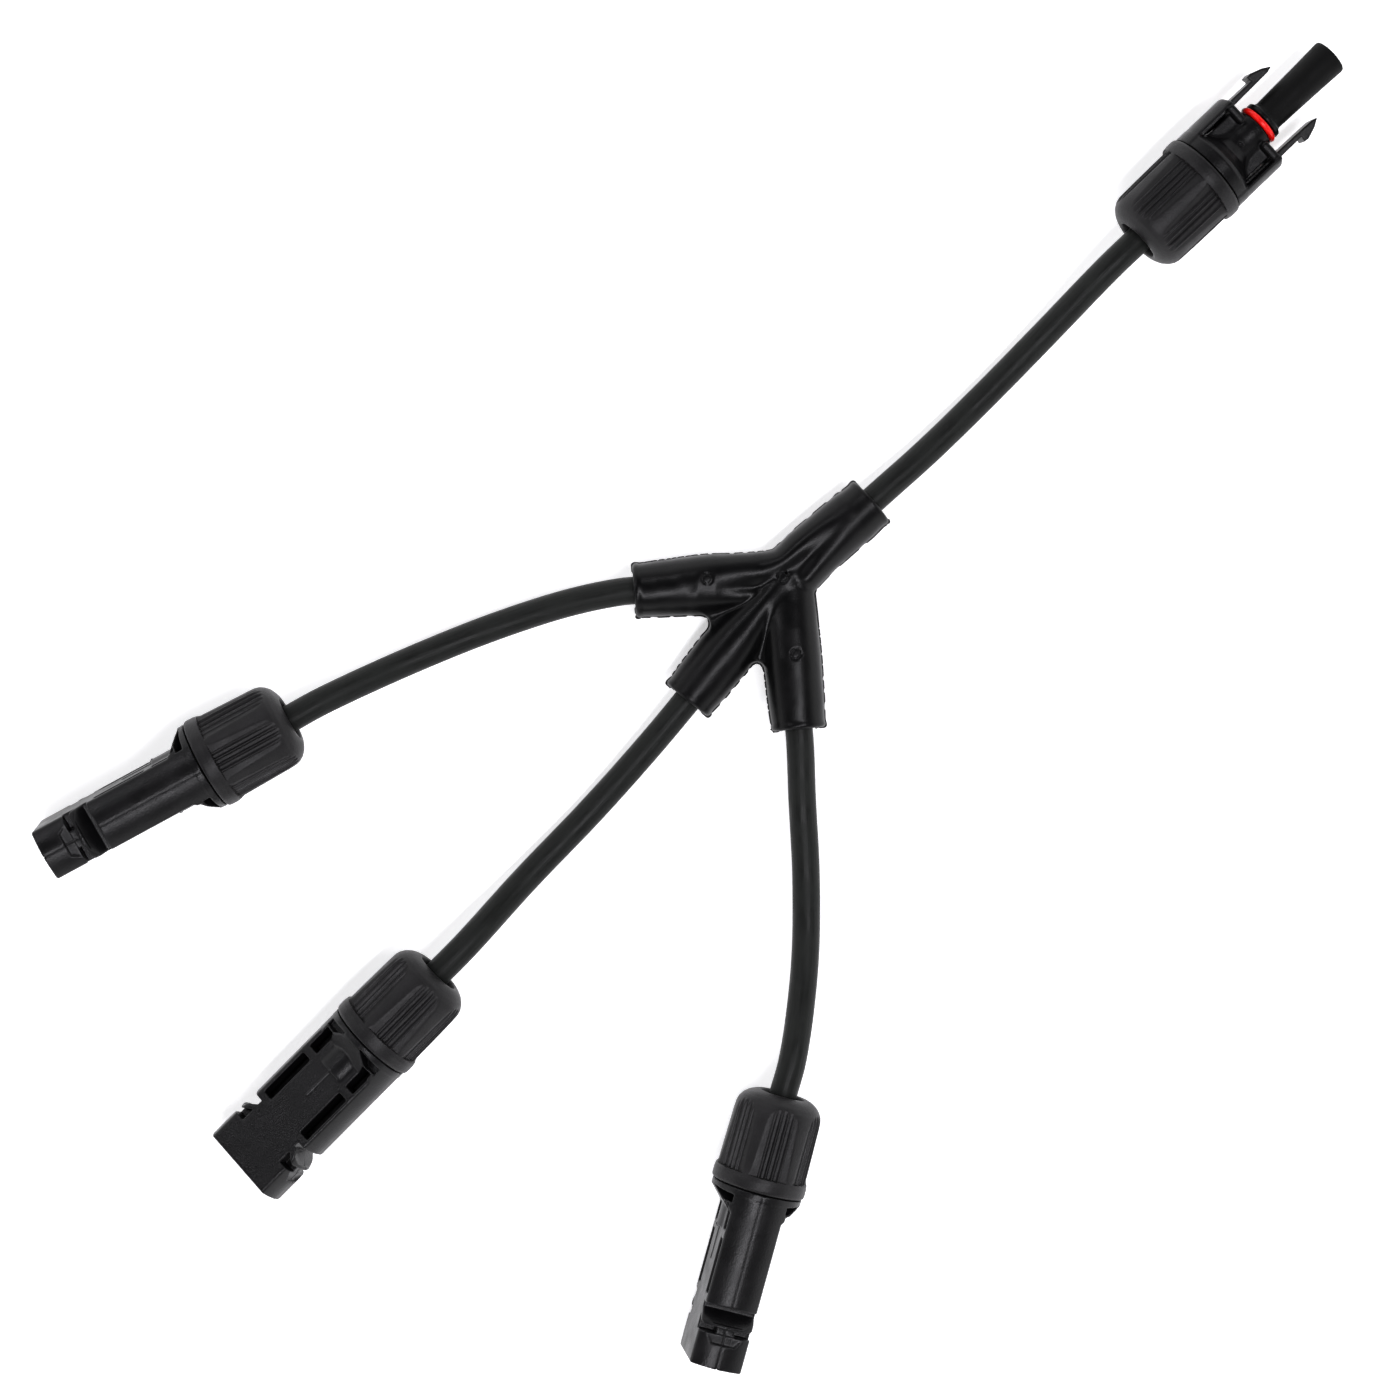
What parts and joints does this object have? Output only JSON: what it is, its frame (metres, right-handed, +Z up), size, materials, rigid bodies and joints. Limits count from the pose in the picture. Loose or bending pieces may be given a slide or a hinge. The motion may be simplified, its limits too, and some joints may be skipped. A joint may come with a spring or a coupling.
{
  "type": "solar cable branch connector",
  "caption": "Moulded black junction with short solar cables, joining a latching probe connector to socket connectors with screwed gland nuts.",
  "frame": {"origin": "centre of the flat under the junction body, on the surface that the object lies on", "axes": "+X along the trunk cable towards the probe connector, +Z up, away from the surface"},
  "size_m": [0.3336, 0.1893, 0.0206],
  "materials": {
    "junction_pvc": "glossy moulded black PVC with ejector marks and a parting line",
    "cable_jacket": "satin black cross-linked cable jacket",
    "housing_nylon": "fine satin black moulded nylon",
    "nut_nylon": "fine satin black moulded nylon with ribbed grips",
    "cage_nylon": "plain black moulded nylon",
    "seal_rubber": "matt black rubber",
    "o_ring_silicone": "smooth red silicone",
    "contact_tin": "bright tin plate on copper",
    "conductor_copper": "bare stranded copper",
    "spring_brass": "bright rolled spring strip"
  },
  "bodies": {
    "root": {"junction_body": "junction_pvc", "splice_ferrule": "contact_tin", "trunk_cable_jacket": "cable_jacket", "trunk_conductor": "conductor_copper", "left_cable_jacket": "cable_jacket", "left_conductor": "conductor_copper", "middle_cable_jacket": "cable_jacket", "middle_conductor": "conductor_copper", "right_cable_jacket": "cable_jacket", "right_conductor": "conductor_copper", "probe_housing": "housing_nylon", "probe_cable_seal": "seal_rubber", "left_housing": "housing_nylon", "left_cable_seal": "seal_rubber", "middle_housing": "housing_nylon", "middle_cable_seal": "seal_rubber", "right_housing": "housing_nylon", "right_cable_seal": "seal_rubber", "probe_socket_contact": "contact_tin", "probe_contact_lamella": "spring_brass", "probe_o_ring": "o_ring_silicone", "left_pin_contact": "contact_tin", "middle_pin_contact": "contact_tin", "right_pin_contact": "contact_tin"},
    "probe_cage": {"probe_clamp_cage": "cage_nylon"},
    "probe_nut": {"probe_gland_nut": "nut_nylon"},
    "left_cage": {"left_clamp_cage": "cage_nylon"},
    "left_nut": {"left_gland_nut": "nut_nylon"},
    "middle_cage": {"middle_clamp_cage": "cage_nylon"},
    "middle_nut": {"middle_gland_nut": "nut_nylon"},
    "right_cage": {"right_clamp_cage": "cage_nylon"},
    "right_nut": {"right_gland_nut": "nut_nylon"},
    "probe_finger_a": {"probe_latch_finger_a": "housing_nylon"},
    "probe_finger_b": {"probe_latch_finger_b": "housing_nylon"}
  },
  "joints": [
    {"name": "probe_cage_slide", "type": "slide", "parent": "root", "child": "probe_cage", "axis": [-0.9998, -0.0035, 0.0175], "range_m": [0, 0.006]},
    {"name": "probe_nut_turn", "type": "hinge", "parent": "probe_cage", "child": "probe_nut", "pos_m": [0.10455, 0.00055, 0.01063], "axis": [-0.9998, -0.0035, 0.0175], "range_deg": [0, 1440]},
    {"name": "left_cage_slide", "type": "slide", "parent": "root", "child": "left_cage", "axis": [0.9661, -0.258, 0.0052], "range_m": [0, 0.006]},
    {"name": "left_nut_turn", "type": "hinge", "parent": "left_cage", "child": "left_nut", "pos_m": [-0.09775, 0.05125, 0.0104], "axis": [0.9661, -0.258, 0.0052], "range_deg": [0, 1440]},
    {"name": "middle_cage_slide", "type": "slide", "parent": "root", "child": "middle_cage", "axis": [0.9983, 0.0296, 0.0506], "range_m": [0, 0.006]},
    {"name": "middle_nut_turn", "type": "hinge", "parent": "middle_cage", "child": "middle_nut", "pos_m": [-0.11215, -0.0102, 0.01126], "axis": [0.9983, 0.0296, 0.0506], "range_deg": [0, 1440]},
    {"name": "right_cage_slide", "type": "slide", "parent": "root", "child": "right_cage", "axis": [0.8563, 0.5165, 0.0052], "range_m": [0, 0.006]},
    {"name": "right_nut_turn", "type": "hinge", "parent": "right_cage", "child": "right_nut", "pos_m": [-0.07665, -0.08005, 0.0104], "axis": [0.8563, 0.5165, 0.0052], "range_deg": [0, 1440]},
    {"name": "probe_finger_a_flex", "type": "hinge", "parent": "root", "child": "probe_finger_a", "pos_m": [0.12973, 0.008, 0.01097], "axis": [-0.0177, 0.1045, -0.9944], "range_deg": [0, 7], "stiffness_Nm_per_rad": 0.4},
    {"name": "probe_finger_b_flex", "type": "hinge", "parent": "root", "child": "probe_finger_b", "pos_m": [0.12976, -0.00672, 0.00942], "axis": [0.0177, -0.1045, 0.9944], "range_deg": [0, 7], "stiffness_Nm_per_rad": 0.4}
  ],
  "couplings": [
    {"joint": "probe_cage_slide", "follows": "probe_nut_turn", "m_per_rad": 0.00023873},
    {"joint": "left_cage_slide", "follows": "left_nut_turn", "m_per_rad": 0.00023873},
    {"joint": "middle_cage_slide", "follows": "middle_nut_turn", "m_per_rad": 0.00023873},
    {"joint": "right_cage_slide", "follows": "right_nut_turn", "m_per_rad": 0.00023873}
  ]
}
